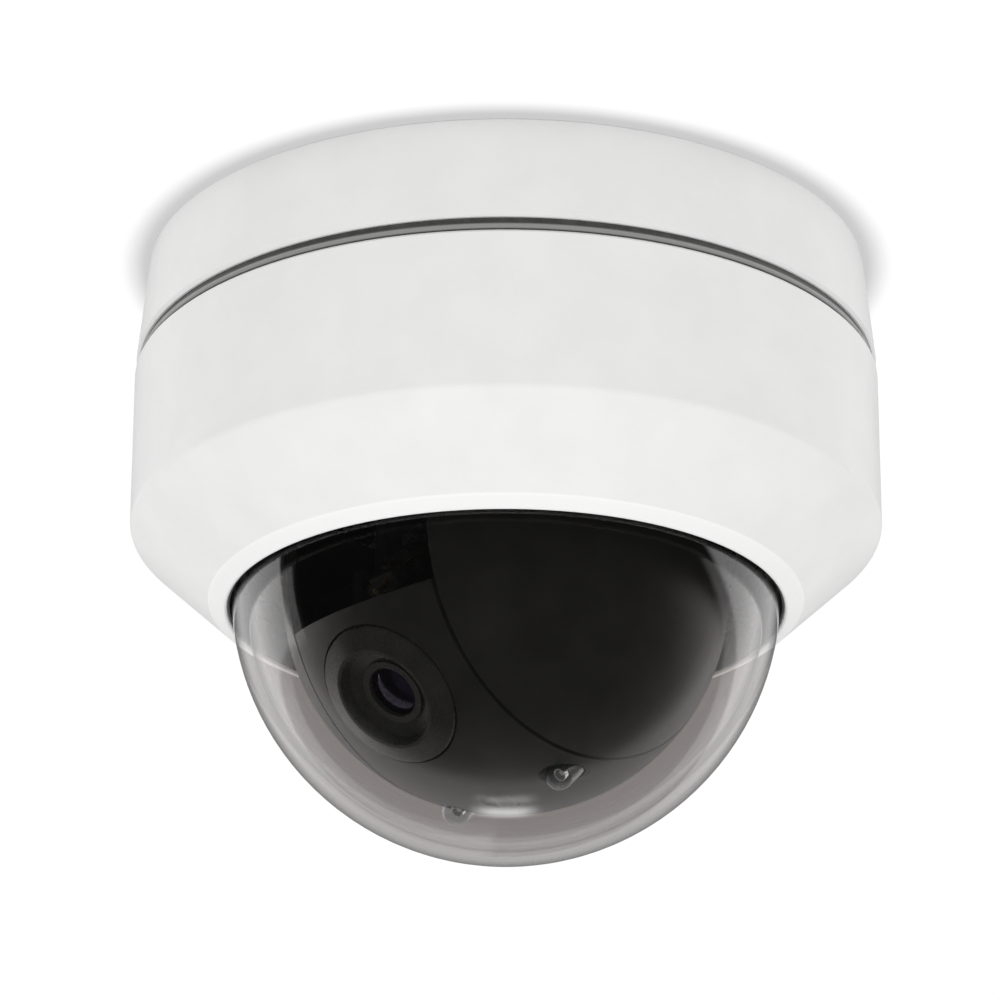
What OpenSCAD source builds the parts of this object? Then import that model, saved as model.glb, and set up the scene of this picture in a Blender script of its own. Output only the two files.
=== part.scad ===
// Ceiling-mounted pan-tilt-zoom dome camera, in millimetres.
// Z is up. The origin is the centre of the ceiling face, and the camera hangs below it.
// The front of the case is -Y.

/* [Case] */
// Widest diameter of the case
case_d = 130; // [120:1:160]
// Diameter of the base where it meets the ceiling
ceiling_d = 126; // [118:1:130]
// Height of the upper ring of the case, from the ceiling to the seam
base_h = 18.7; // [16:0.1:26]
// Height of the rubber seam between the two halves of the case
seam_h = 2.5; // [1.5:0.1:4]
// Height of the straight side of the lower half
side_h = 28; // [23:0.5:40]
// Slope of the lower half's chamfer, from the horizontal
chamfer_angle = 43; // [30:0.1:55]
// Wall thickness of both die-cast halves
wall = 3; // [2:0.1:4]
// Width of the bright bevel round the dome's opening
lip_w = 3; // [1.5:0.1:5]
// Height of that bevel
lip_drop = 1.75; // [1:0.05:3]
// Radius of the edge between the side and the chamfer
edge_fillet = 1.6; // [0.5:0.1:2.5]

/* [Dome] */
// Outer diameter of the clear dome
dome_d = 94.6; // [80:0.2:104]
// Wall thickness of the clear dome
dome_wall = 2.5; // [1.5:0.1:4]
// Gap between the dome and the edge of its opening
dome_gap = 0.6; // [0.4:0.05:1.2]
// Height of the dome's equator above the opening's edge
dome_rise = 4.6; // [3:0.1:6]
// Thickness of the dome's mounting flange
flange_t = 2.5; // [1.5:0.1:4]

/* [Ceiling mount] */
// Radius of the steel ceiling plate
plate_r = 50; // [46:0.5:50]
// Thickness of the ceiling plate
plate_t = 2; // [1.5:0.1:2.2]
// Bolt circle of the ceiling screws
bolt_pcd = 80; // [76:1:84]
// Radius of each ceiling screw hole
bolt_hole_r = 2.25; // [2:0.05:3]
// Radius of the cable hole in the ceiling plate
plate_cable_r = 12; // [10:0.5:16]
// Radius of the cable hole in the rubber grommet
cable_r = 3.5; // [2.5:0.1:5]
// Turn that frees the camera from the ceiling plate, in degrees
twist_angle = 15; // [10:1:20]

/* [Pan and tilt] */
// Pan of the camera as drawn, from the front, in degrees
pan_rest = -48; // [-170:1:170]
// Tilt of the lens below the horizontal as drawn, in degrees
tilt_rest = 44; // [0:1:90]
// Gap between the ball-shaped head and the inside of the dome
ball_gap = 6.3; // [5:0.1:12]
// Half width of the tilting middle part of the ball
drum_w = 17.5; // [17:0.1:19]
// Wall thickness of the black plastic mouldings
skin = 1.6; // [1.2:0.1:2.2]

/* [Lens] */
// Outer radius of the lens barrel
barrel_r = 13; // [12:0.1:13.2]
// Radius of the front glass
glass_r = 4.6; // [3:0.1:6]
// Radius of the inner edge of the front ring
ring_r = 9.4; // [8:0.1:10.5]
// Travel of the zoom lens group
zoom_travel = 7; // [4:0.5:8]
// Travel of the focus lens group
focus_travel = 4; // [2:0.5:5]

/* [Hidden] */
$fn = 96;

// Small cut allowance, so that no cut ends flush with a face
eps = 0.5;
tan_c = tan(chamfer_angle);

// Case outline
case_r = case_d / 2;
ceiling_r = ceiling_d / 2;
seam_step = 0.2;
base_r = case_r - seam_step;
z_seam = -base_h;
z_side = z_seam - seam_h;
z_edge = z_side - side_h;
dome_r = dome_d / 2;
opening_r = dome_r + dome_gap;
lip_r = opening_r + lip_w;
z_lip_top = z_edge - (case_r - lip_r) * tan_c;
z_lip = z_lip_top - lip_drop;
lip_round = 0.5;
dome_z = z_lip + dome_rise;

// Dome seat, upwards from the lip
seal_t = 1;
seat_t = 1.7;
z_ledge = dome_z + seat_t;
z_flange = z_ledge + seal_t;
z_flange_top = z_flange + flange_t;
flange_w = 5.1;
flange_r = dome_r + flange_w;
flange_gap = 0.4;
seal_lip_t = 0.35;
chamfer_wall = wall / cos(chamfer_angle);
inner_r = case_r - wall;
ring_foot = 2.5;
z_ring = z_flange_top + ring_foot;
ring_t = 1.5;
ring_in_r = dome_r - dome_wall + 1.1;
ring_screw_r = flange_r + 3.3;
ring_screw_head_r = 1.9;
ring_out_r = ring_screw_r + ring_screw_head_r + 0.1;
ring_angles = [45, 135, 225, 315];

// Ceiling plate, deck and twist lock
deck_gap = 0.5;
deck_t = 3;
z_deck = -plate_t - deck_gap;
z_deck_low = z_deck - deck_t;
recess_r = plate_r + 0.8;
stud_ring_r = 30;
stud_r = 2;
stud_head_r = 4;
stud_head_t = 1.6;
stud_angles = [0, 120, 240];
stud_play = 0.4;
stud_drop = 0.3;
bolt_angles = [45, 135, 225, 315];
tab_r = plate_r - 2;
tab_t = 2;
tab_w = 8;
tab_drop = 10;
lock_z = z_deck_low - 3.5;
screw_r = 1.5;
lock_boss_r = 3.8;
lock_gap = 0.3;

// Screws that join the two halves, from the ceiling side
case_screw_r = min(case_r, ceiling_r + 2) - 7.5;
case_screw_angles = [30, 150, 270];
case_boss_r = 3.8;
boss_gap = 0.15;
head_r = 2.75;
head_t = 2.5;
case_screw_len = 14;

// Circuit board under the deck
board_r = 44.5;
board_t = 1.6;
board_drop = 4;
z_board = z_deck_low - board_drop;
board_post_r = 40;
board_post_angles = [60, 180, 300];
post_r = 3;
harness_hole_r = 8;
reset_x = -21;
reset_y = -30;
reset_r = 1.6;
reset_h = 3.5;
z_reset = z_board - board_t - reset_h;
card_x = 15;
card_y = 12;
card_w = 11;
card_l = 15;
card_t = 1;
socket_w = 13;
socket_d = 14.5;
socket_h = 1.9;
z_card = z_board - board_t - socket_h;

// Pan and tilt stack, upwards from the tilt axis
ball_r = dome_r - dome_wall - ball_gap;
ball_in_r = ball_r - skin;
head_clear = 20.7;
yoke_t = 2;
turntable_t = 3;
gear_t = 3.4;
gear_gap = 1.1;
chassis_t = 2.5;
z_yoke = dome_z + head_clear;
z_turn = z_yoke + yoke_t;
z_gear = z_turn + turntable_t;
z_chassis = z_gear + gear_t + gear_gap;
z_chassis_top = z_chassis + chassis_t;
chassis_r = 52;
chassis_post_ring = 54;
chassis_post_angles = [0, 120, 240];
chassis_ear_r = 5;

// Pan drive
pan_module = 0.8;
pan_teeth = 88;
pan_pinion_teeth = 14;
pan_pitch_r = pan_module * pan_teeth / 2;
pan_pinion_pitch_r = pan_module * pan_pinion_teeth / 2;
pan_centre = pan_pitch_r + pan_pinion_pitch_r;
pan_motor_angle = 90;
pan_motor_r = 10;
pan_motor_h = 9;
motor_shaft_r = 1.25;
shaft_play = 0.05;
pressure_angle = 20;
backlash = 0.16;
turntable_r = pan_pitch_r - 1.5;

// Pan bearing and hollow shaft
bearing_r = 11;
bearing_bore = 6;
bearing_t = 6;
bearing_ball_r = 1.4;
bearing_track = (bearing_r + bearing_bore) / 2;
race_t = 1.4;
hub_r = 14;
shaft_hole_r = 4;
nut_t = 2;
stop_ring_r = 26;
stop_pin_r = 0.65;
stop_tab_w = 0.9;

// Tilt drive, on the right arm of the yoke
arm_gap = 0.8;
arm_t = 2.5;
arm_x = drum_w + arm_gap;
arm_out = arm_x + arm_t;
arm_half = 12;
tilt_module = 0.5;
tilt_teeth = 44;
tilt_pinion_teeth = 14;
tilt_pitch_r = tilt_module * tilt_teeth / 2;
tilt_pinion_pitch_r = tilt_module * tilt_pinion_teeth / 2;
tilt_centre = tilt_pitch_r + tilt_pinion_pitch_r;
tilt_gear_t = 2.5;
tilt_gear_x = arm_out + 0.5;
tilt_motor_x = tilt_gear_x + tilt_gear_t + 0.6;
tilt_motor_r = 6.5;
tilt_motor_h = 6;
tilt_flange_t = 0.8;
tilt_post_y = 9.5;
trunnion_r = 3;
bush_r = 4.5;
bush_play = 0.05;
trunnion_end = tilt_gear_x + tilt_gear_t + 0.2;

// Ball: the cheeks pan, and the drum between them also tilts
cheek_x = drum_w + 0.6;
cheek_top = 17;
cheek_boss_r = 2.2;
cheek_boss_y = 14.5;
cheek_boss_z = 2;
cowl_from = -25;
cowl_to = 120;
frame_t = 1.5;
frame_x = drum_w - 0.5;

// Lens block, in the head's own frame: lens along -Y, tilt axis along X through the origin
bevel_y = -(ball_r - 1.9);
ring_y = -(ball_r - 0.6);
dish_y = bevel_y + 1.1;
barrel_wall = 2;
barrel_front = bevel_y + 4;
barrel_back = -6;
block_back = 4;
block_half = 13;
block_wall = 1.5;
screw_x = 4.2;
screw_z = barrel_r + 2.8;
lens_motor_r = 2.4;
rod_x = 8.6;
rod_r = 0.75;
carriage_r = barrel_r - barrel_wall - 0.6;
carriage_t = 3;
zoom_y = -26.5;
focus_y = -15;
filter_y = -2.5;
filter_travel = 6;
cross_z = -14;
led_pitch = 13;
led_z = -26.6;
led_tip_y = -27.6;
led_r = 2.5;
led_flange_r = 2.9;
led_hole_r = 2.75;
led_board_y = -16.5;
led_length = 8.6;

// ---------------------------------------------------------------- helpers

// Puts its children at each angle of a ring
module round_ring(r, angles) {
    for (a = angles)
        rotate([0, 0, a])
            translate([r, 0, 0])
                children();
}

// Vertical cylinder between two heights
module post(r, low, high) {
    translate([0, 0, low])
        cylinder(r = r, h = high - low);
}

// Cylinder along X between two places
module bar_x(r, from, to) {
    translate([from, 0, 0])
        rotate([0, 90, 0])
            cylinder(r = r, h = to - from);
}

// Cylinder along Y between two places
module bar_y(r, from, to) {
    translate([0, from, 0])
        rotate([-90, 0, 0])
            cylinder(r = r, h = to - from);
}

// Flat ring between two heights
module ring(outer, inner, low, high) {
    difference() {
        post(outer, low, high);
        post(inner, low - eps, high + eps);
    }
}

// Slot along an arc, with round ends a touch fuller than its width, from angle a to a + sweep
module arc_slot(r, half, a, sweep, low, high) {
    rotate([0, 0, a])
        rotate_extrude(angle = sweep)
            translate([r - half, low])
                square([2 * half, high - low]);
    round_ring(r, [a, a + sweep])
        post(half + 0.06, low, high);
}

// Screw with a pan head: the shank runs down from z = 0, and the head sits above
module screw(shank, length, head, height) {
    post(shank, -length, 0);
    difference() {
        post(head, 0, height);
        translate([0, 0, height - 0.6 * height])
            cylinder(r = 0.5 * head, h = height, $fn = 6);
    }
}

// Involute gear, with its teeth along Z from 0 to t, and a tooth along +X
function inv_deg(a) = tan(a) * 180 / PI - a;
function tooth_half(r, rp, rb, teeth) =
    90 / teeth - backlash / (4 * rp) * 180 / PI
    + inv_deg(pressure_angle) - inv_deg(acos(min(1, rb / max(r, rb))));
function gear_points(m, teeth, add, ded, steps = 4) =
    let (
        rp = m * teeth / 2,
        rb = rp * cos(pressure_angle),
        r0 = rp - ded * m,
        r1 = rp + add * m,
        radii = concat([r0], [for (k = [0:steps]) let (r = max(rb, r0 + 0.01)) r + (r1 - r) * k / steps])
    )
    [for (i = [0:teeth - 1]) each concat(
        [for (r = radii) let (a = i * 360 / teeth - tooth_half(r, rp, rb, teeth)) r * [cos(a), sin(a)]],
        [for (k = [len(radii) - 1:-1:0])
            let (r = radii[k], a = i * 360 / teeth + tooth_half(r, rp, rb, teeth)) r * [cos(a), sin(a)]]
    )];
module gear(m, teeth, add, ded, t) {
    linear_extrude(height = t)
        polygon(gear_points(m, teeth, add, ded));
}

// The pan assembly's frame: turned to its rest pan
module pan_frame() {
    rotate([0, 0, pan_rest])
        children();
}

// The tilt axis's frame: origin on the axis, front along -Y
module axis_frame() {
    pan_frame()
        translate([0, 0, dome_z])
            children();
}

// The head's own frame: lens along -Y
module head_frame_place() {
    axis_frame()
        rotate([tilt_rest, 0, 0])
            children();
}

// Height of the chamfer's outer face at a radius
function chamfer_z(r) = z_edge - (case_r - r) * tan_c;

// Points of a fillet of radius r at a convex corner, as seen in the (radius, z) half plane.
// The corner is at p; a0 and a1 are the directions of the two outward normals.
function fillet(p, r, a0, a1, steps = 4) =
    let (
        mid = (a0 + a1) / 2,
        reach = r / cos((a1 - a0) / 2),
        c = p - reach * [cos(mid), sin(mid)]
    )
    [for (k = [0:steps]) let (a = a0 + (a1 - a0) * k / steps) c + r * [cos(a), sin(a)]];

// ---------------------------------------------------------------- ceiling mount

// Stamped steel plate that is screwed to the ceiling, with a bent tab for the lock screw
module mount_plate() {
    color([0.72, 0.73, 0.74])
        difference() {
            union() {
                post(plate_r, -plate_t, 0);
                intersection() {
                    ring(tab_r, tab_r - tab_t, -plate_t - tab_drop, -plate_t / 2);
                    translate([-tab_w / 2, 0, -plate_t - tab_drop])
                        cube([tab_w, plate_r, plate_t + tab_drop]);
                }
            }
            post(plate_cable_r, -plate_t - eps, eps);
            round_ring(bolt_pcd / 2, bolt_angles)
                post(bolt_hole_r, -plate_t - eps, eps);
            round_ring(stud_ring_r, stud_angles)
                post(stud_r, -plate_t - eps, eps);
            // Slots for a wall box, and a notch that shows the locked position
            for (s = [-1, 1])
                arc_slot(plate_r - 16, 1.8, 90 * s + 175, 10, -plate_t - eps, eps);
            translate([0, -plate_r, -plate_t - eps])
                cylinder(r = 2.5, h = plate_t + 2 * eps);
        }
}

// Shouldered studs riveted into the plate: the deck's keyholes hang on their heads
module mount_studs() {
    z_head = z_deck_low - stud_drop;
    color([0.78, 0.78, 0.76])
        round_ring(stud_ring_r, stud_angles) {
            post(stud_r, z_head, -0.3);
            post(stud_head_r, z_head - stud_head_t, z_head);
        }
}

// ---------------------------------------------------------------- case

// Upper ring and deck, one die casting
module base_housing() {
    taper = (base_r - ceiling_r) / base_h;
    deck_wall_r = ceiling_r - taper * z_deck_low - wall;
    difference() {
        color([0.87, 0.87, 0.86])
            union() {
                rotate_extrude()
                    polygon(concat(
                        [[0, z_deck_low], [deck_wall_r, z_deck_low], [base_r - wall, z_seam]],
                        [[base_r - 0.5, z_seam], [base_r, z_seam + 0.5]],
                        [[ceiling_r + 0.4 * taper, -0.4], [ceiling_r - 0.4, 0]],
                        [[recess_r, 0], [recess_r, z_deck], [0, z_deck]]
                    ));
                // Bosses for the screws that hold the lower half
                round_ring(case_screw_r, case_screw_angles) {
                    post(case_boss_r, z_seam + boss_gap, z_deck_low + 1);
                    translate([0, -1.5, z_seam + boss_gap])
                        cube([base_r - wall / 2 - case_screw_r, 3, z_deck_low + 1 - z_seam - boss_gap]);
                }
                // Long posts that carry the chassis, and short ones for the board
                round_ring(chassis_post_ring, chassis_post_angles)
                    post(post_r + 0.5, z_chassis_top, z_deck_low + 1);
                round_ring(board_post_r, board_post_angles)
                    post(post_r, z_board, z_deck_low + 1);
                // Boss of the lock screw
                intersection() {
                    translate([0, 0, lock_z])
                        bar_y(lock_boss_r, tab_r + 1.2, base_r - wall / 2);
                    post(ceiling_r, z_seam, z_deck);
                }
            }
        post(cable_r + 6.5, z_deck_low - eps, 1);
        for (a = stud_angles) {
            arc_slot(stud_ring_r, stud_r + stud_play, a - twist_angle, twist_angle, z_deck_low - eps, 1);
            round_ring(stud_ring_r, [a - twist_angle])
                post(stud_head_r + stud_play, z_deck_low - eps, 1);
        }
        tab_half_angle = asin((tab_w / 2 + 0.6) / tab_r);
        rotate([0, 0, 90 - twist_angle - tab_half_angle])
            rotate_extrude(angle = twist_angle + 2 * tab_half_angle)
                translate([tab_r - tab_t - 0.6, z_deck_low - eps])
                    square([tab_t + 1.2, deck_t + 2]);
        translate([0, 0, lock_z])
            bar_y(screw_r, tab_r, case_r + eps);
        round_ring(case_screw_r, case_screw_angles) {
            post(screw_r + 0.15, z_seam - eps, 1);
            post(head_r + 0.35, -head_t - 1.5, 1);
        }
        round_ring(chassis_post_ring, chassis_post_angles)
            post(screw_r - 0.25, z_chassis_top - eps, z_chassis_top + 8);
        round_ring(board_post_r, board_post_angles)
            post(1, z_board - eps, z_board + 3.5);
    }
}

// Set screw with a hexagon socket, reached from the back of the case
module lock_screw() {
    color([0.35, 0.35, 0.36])
        difference() {
            translate([0, 0, lock_z])
                bar_y(screw_r, tab_r + lock_gap, ceiling_r - 2.5);
            translate([0, ceiling_r - 4.2, lock_z])
                rotate([-90, 0, 0])
                    cylinder(r = 0.9, h = 3, $fn = 6);
        }
}

// Screws from the ceiling side that pull the two halves together
module case_screws() {
    z_head = -head_t - 1.5;
    color([0.6, 0.6, 0.6])
        round_ring(case_screw_r, case_screw_angles)
            translate([0, 0, z_head])
                screw(screw_r, z_head - z_seam + case_screw_len, head_r, head_t);
}

// Rubber grommet in the deck, for the cable
module cable_grommet() {
    color([0.08, 0.08, 0.08])
        difference() {
            union() {
                post(cable_r + 6.5, z_deck_low, z_deck);
                post(cable_r + 8.5, z_deck_low - 1.5, z_deck_low);
            }
            post(cable_r, z_deck_low - 2, z_deck + eps);
        }
}

// Rubber ring in the seam, with a rounded lower bead
module body_gasket() {
    bead = 0.32 * seam_h;
    gasket_r = base_r - 0.9;
    color([0.12, 0.12, 0.12])
        rotate_extrude()
            polygon(concat(
                [[inner_r + 0.1, z_side], [inner_r + 0.1, z_seam], [gasket_r, z_seam]],
                [[gasket_r, z_seam - seam_h + 2.2 * bead]],
                [for (a = [80:-20:-80]) [gasket_r - 0.1, z_side + bead] + bead * [cos(a), sin(a)]]
            ));
}

// Outline of the lower half's outer face, from its top edge to the lip
function lower_outline() = concat(
    [[case_r - 0.5, z_side], [case_r, z_side - 0.5]],
    fillet([case_r, z_edge], edge_fillet, 0, chamfer_angle - 90),
    [[lip_r, z_lip_top]],
    fillet([opening_r, z_lip], lip_round, -atan(lip_w / lip_drop), -180)
);

// Lower half: side, chamfer and lip, one die casting
module lower_housing() {
    boss_top = z_seam - boss_gap;
    boss_low = z_seam - case_screw_len - 2;
    color([0.87, 0.87, 0.86])
        difference() {
            union() {
                rotate_extrude()
                    polygon(concat(
                        lower_outline(),
                        [[opening_r, z_ledge], [flange_r + flange_gap, z_ledge]],
                        [[flange_r + flange_gap, chamfer_z(flange_r + flange_gap) + chamfer_wall]],
                        [[inner_r, chamfer_z(inner_r) + chamfer_wall], [inner_r, z_side]]
                    ));
                round_ring(case_screw_r, case_screw_angles) {
                    post(case_boss_r, boss_low, boss_top);
                    translate([0, -1.5, boss_low])
                        cube([case_r - wall / 2 - case_screw_r, 3, z_side - boss_low]);
                }
                intersection() {
                    round_ring(ring_screw_r, ring_angles)
                        post(ring_screw_head_r + 0.6, z_ledge, z_ring);
                    rotate_extrude()
                        polygon(concat(lower_outline(), [[0, z_lip], [0, z_side]]));
                }
            }
            round_ring(case_screw_r, case_screw_angles)
                post(screw_r, boss_low + 1, boss_top + eps);
            round_ring(ring_screw_r, ring_angles)
                post(1, z_ring - 3.2, z_ring + eps);
            ring_clear();
        }
}

// Room for the dome's retaining ring
module ring_clear() {
    post(flange_r + flange_gap, z_ledge, z_ring + 5);
}

// Rubber seal under the dome's flange, with a thin sleeve that shows in the gap
module dome_gasket() {
    color([0.05, 0.05, 0.05])
        difference() {
            union() {
                post(flange_r + 0.2, z_ledge, z_flange);
                post(opening_r - 0.02, z_lip + 1, z_ledge);
            }
            post(opening_r - seal_lip_t, z_lip, z_flange + eps);
        }
}

// Clear polycarbonate dome: half sphere, short skirt and flange
module dome() {
    dome_in_r = dome_r - dome_wall;
    skirt = z_flange - dome_z;
    color([0.75, 0.75, 0.76, 0.4])
        translate([0, 0, dome_z])
            rotate_extrude()
                difference() {
                    union() {
                        intersection() {
                            circle(r = dome_r);
                            translate([0, -dome_r])
                                square([dome_r, dome_r]);
                        }
                        square([dome_r, skirt + flange_t / 2]);
                        translate([0, skirt])
                            square([flange_r, flange_t]);
                    }
                    circle(r = dome_in_r);
                    square([dome_in_r, skirt + flange_t + eps]);
                    translate([-dome_r, -dome_r])
                        square([dome_r, 2 * dome_r]);
                }
}

// Stamped ring that clamps the dome's flange
module dome_ring() {
    color([0.66, 0.67, 0.68])
        difference() {
            union() {
                post(flange_r + 0.2, z_flange_top, z_ring);
                post(ring_out_r, z_ring, z_ring + ring_t);
            }
            post(ring_in_r, z_flange_top - eps, z_ring + ring_t + eps);
            round_ring(ring_screw_r, ring_angles)
                post(1.15, z_ring - eps, z_ring + ring_t + eps);
        }
}

module dome_ring_screws() {
    color([0.6, 0.6, 0.6])
        round_ring(ring_screw_r, ring_angles)
            translate([0, 0, z_ring + ring_t])
                screw(1, ring_t + 3, ring_screw_head_r, 1.4);
}

// Black trim funnel that hides the inside of the case
module shroud() {
    top = z_ring + ring_t;
    in_r = ball_r + 1.1;
    out_r = ring_screw_r - ring_screw_head_r - 0.4;
    neck_r = ring_in_r - 0.3;
    color([0.05, 0.05, 0.05])
        rotate_extrude()
            polygon([
                [out_r, top], [out_r, top + 1], [neck_r - 0.5, top + 1],
                [in_r, top - 4], [in_r + 0.4, top - 5], [neck_r, top]
            ]);
}

// ---------------------------------------------------------------- electronics

module main_board() {
    color([0.05, 0.25, 0.12])
        difference() {
            post(board_r, z_board - board_t, z_board);
            post(harness_hole_r, z_board - board_t - eps, z_board + eps);
            round_ring(board_post_r, board_post_angles)
                post(1.1, z_board - board_t - eps, z_board + eps);
            round_ring(pan_centre, [pan_motor_angle])
                post(pan_motor_r + 2, z_board - board_t - eps, z_board + eps);
        }
}

// One soldered part under the board
module chip(x, y, w, d, h) {
    translate([x - w / 2, y - d / 2, z_board - board_t - h])
        cube([w, d, h]);
}

module board_components() {
    color([0.1, 0.1, 0.1]) {
        chip(-22, 2, 15, 15, 1.4);
        chip(-22, -15, 9, 12, 1.1);
        chip(-9, -26, 8, 6, 1.6);
        chip(24, -16, 14, 11, 7);
        chip(-3, 22, 7, 7, 1);
        for (p = [[30, 4], [30, 16]])
            translate([p[0], p[1], z_board - board_t - 6.5])
                cylinder(r = 4, h = 6.5);
        for (k = [0:5])
            chip(8 + 4 * k, -32 + 1.2 * k, 2, 3.4, 1);
    }
    color([0.9, 0.9, 0.86]) {
        chip(0, -13.5, 16, 5, 4.5);
        chip(-33, 20, 5, 12, 4.5);
    }
}

module heat_sink() {
    w = 18;
    fin_t = 1;
    fins = 7;
    z_top = z_board - board_t - 1.4;
    color([0.7, 0.71, 0.72])
        translate([-22 - w / 2, 2 - w / 2, z_top - 6]) {
            translate([0, 0, 4.5])
                cube([w, w, 1.5]);
            for (k = [0:fins - 1])
                translate([k * (w - fin_t) / (fins - 1), 0, 0])
                    cube([fin_t, w, 4.6]);
        }
}

// Memory card socket: a pressed metal shell, open towards the front
module card_socket() {
    color([0.75, 0.75, 0.74])
        translate([card_x, card_y, z_card])
            difference() {
                translate([-socket_w / 2, 0, 0])
                    cube([socket_w, socket_d, socket_h]);
                translate([-card_w / 2 - 0.1, -eps, 0.4])
                    cube([card_w + 0.2, socket_d - 1, card_t + 0.1]);
            }
}

module memory_card() {
    color([0.1, 0.1, 0.12])
        translate([card_x, card_y, z_card + 0.45])
            difference() {
                translate([-card_w / 2, socket_d - 1.6 - card_l, 0])
                    cube([card_w, card_l, card_t]);
                // Notch at the front corner, for its way round
                translate([card_w / 2 - 1.3, socket_d - 5, -eps])
                    cube([2, 6, card_t + 2 * eps]);
            }
}

module board_screws() {
    color([0.6, 0.6, 0.6])
        round_ring(board_post_r, board_post_angles)
            translate([0, 0, z_board - board_t])
                rotate([180, 0, 0])
                    screw(1, board_t + 3, 2, 1.4);
}

// Tactile switch for a factory reset
module reset_switch() {
    color([0.15, 0.15, 0.15])
        difference() {
            chip(reset_x, reset_y, 6, 6, reset_h);
            translate([reset_x, reset_y, 0])
                post(reset_r + 0.3, z_reset - eps, z_reset + 2);
        }
}

module reset_button() {
    color([0.7, 0.1, 0.08])
        translate([reset_x, reset_y, 0])
            post(reset_r, z_reset - 1.2, z_reset + 1);
}

// Cable bundle through the hollow pan shaft: it twists in place as the camera pans
module pan_harness() {
    bundle_r = 2.6;
    color([0.2, 0.2, 0.22])
        post(bundle_r, z_yoke + 0.4, z_board - 0.5);
}

// ---------------------------------------------------------------- pan drive

module chassis() {
    z_hub = z_chassis + bearing_t + 1;
    color([0.2, 0.2, 0.21])
        difference() {
            union() {
                post(chassis_r, z_chassis, z_chassis_top);
                round_ring(chassis_post_ring - 1, chassis_post_angles)
                    post(chassis_ear_r, z_chassis, z_chassis_top);
                post(hub_r, z_chassis, z_hub);
                // Stop pin for the end of the pan
                round_ring(stop_ring_r, [90])
                    post(stop_pin_r, z_chassis - 3, z_chassis + 0.5);
                // Stiffening ribs
                for (a = [0:60:300])
                    rotate([0, 0, a])
                        translate([hub_r - 1, -0.8, z_chassis_top - 0.5])
                            cube([12, 1.6, 3]);
            }
            post(bearing_r, z_chassis - eps, z_chassis + bearing_t);
            post(bearing_r - 1.6, z_chassis - eps, z_hub + eps);
            round_ring(chassis_post_ring, chassis_post_angles)
                post(screw_r, z_chassis - eps, z_chassis_top + eps);
            round_ring(pan_centre, [pan_motor_angle]) {
                post(4, z_chassis - eps, z_chassis_top + eps);
                for (s = [-1, 1])
                    translate([0, s * (pan_motor_r + 2), 0])
                        post(0.95, z_chassis - eps, z_chassis_top + eps);
            }
            // Openings for air and wires
            for (a = [200:70:340])
                arc_slot(36, 5, a - 12, 24, z_chassis - eps, z_chassis_top + eps);
        }
}

module chassis_screws() {
    color([0.6, 0.6, 0.6])
        round_ring(chassis_post_ring, chassis_post_angles)
            translate([0, 0, z_chassis])
                rotate([180, 0, 0])
                    screw(screw_r - 0.25, chassis_t + 6, head_r, 2);
}

// Stepper motor on top of the chassis
module pan_motor() {
    color([0.62, 0.63, 0.64])
        round_ring(pan_centre, [pan_motor_angle])
            difference() {
                union() {
                    post(pan_motor_r, z_chassis_top, z_chassis_top + pan_motor_h);
                    for (s = [-1, 1])
                        translate([0, s * (pan_motor_r + 2), 0])
                            post(3, z_chassis_top, z_chassis_top + 1);
                    translate([-3, -pan_motor_r - 2, z_chassis_top])
                        cube([6, 2 * pan_motor_r + 4, 1]);
                    post(3.8, z_chassis_top - 1.5, z_chassis_top);
                }
                post(motor_shaft_r + shaft_play, z_chassis_top - 2, z_chassis_top + pan_motor_h - 2);
                for (s = [-1, 1])
                    translate([0, s * (pan_motor_r + 2), 0])
                        post(1.1, z_chassis_top - eps, z_chassis_top + 1 + eps);
            }
}

module pan_motor_screws() {
    color([0.6, 0.6, 0.6])
        round_ring(pan_centre, [pan_motor_angle])
            for (s = [-1, 1])
                translate([0, s * (pan_motor_r + 2), z_chassis_top + 1])
                    screw(0.95, chassis_t + 0.8, 1.9, 1.3);
}

// Pinion on the motor's shaft, with a gap between teeth facing the pan gear
module pan_pinion() {
    color([0.85, 0.83, 0.75])
        round_ring(pan_centre, [pan_motor_angle]) {
            translate([0, 0, z_gear - 0.2])
                rotate([0, 0, 180 + 180 / pan_pinion_teeth])
                    gear(pan_module, pan_pinion_teeth, 0.9, 1.2, gear_t + 0.6);
            post(motor_shaft_r, z_gear, z_chassis_top + pan_motor_h - 2.5);
        }
}

module pan_bearing_outer() {
    color([0.7, 0.71, 0.72])
        difference() {
            ring(bearing_r, bearing_r - race_t, z_chassis, z_chassis + bearing_t);
            bearing_groove();
        }
}

// Round groove in which the balls run
module bearing_groove() {
    translate([0, 0, z_chassis + bearing_t / 2])
        rotate_extrude()
            translate([bearing_track, 0])
                circle(r = bearing_ball_r + 0.06, $fn = 48);
}

module pan_bearing_balls() {
    balls = 12;
    color([0.8, 0.8, 0.82])
        for (k = [0:balls - 1])
            rotate([0, 0, k * 360 / balls])
                translate([bearing_track, 0, z_chassis + bearing_t / 2])
                    sphere(r = bearing_ball_r, $fn = 48);
}

module pan_bearing_inner() {
    color([0.7, 0.71, 0.72])
        difference() {
            ring(bearing_bore + race_t, bearing_bore, z_chassis, z_chassis + bearing_t);
            bearing_groove();
        }
}

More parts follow.
